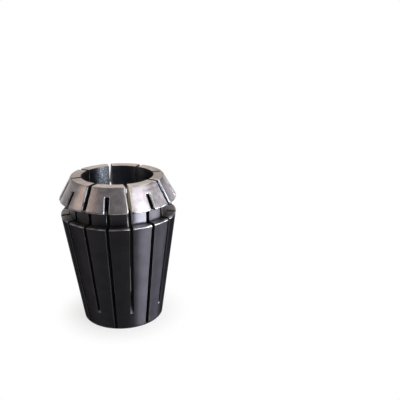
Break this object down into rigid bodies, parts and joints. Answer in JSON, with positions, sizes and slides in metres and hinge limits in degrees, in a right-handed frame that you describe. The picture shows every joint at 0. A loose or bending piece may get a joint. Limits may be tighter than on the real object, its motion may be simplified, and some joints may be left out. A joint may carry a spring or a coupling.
{
  "type": "spring collet",
  "caption": "Slotted spring collet with a slender outer taper, a steep nose cone and an extraction groove, for clamping a round tool shank in a collet chuck.",
  "frame": {"origin": "on the collet's axis, in the plane of its small back face", "axes": "+Z along the axis from the back face to the front face, where the shank goes in; +X through the middle of a front slot"},
  "size_m": [0.026, 0.026, 0.034],
  "materials": {
    "ground_steel": "fine ground, satin"
  },
  "bodies": {
    "root": {"collet": "ground_steel"}
  },
  "joints": []
}
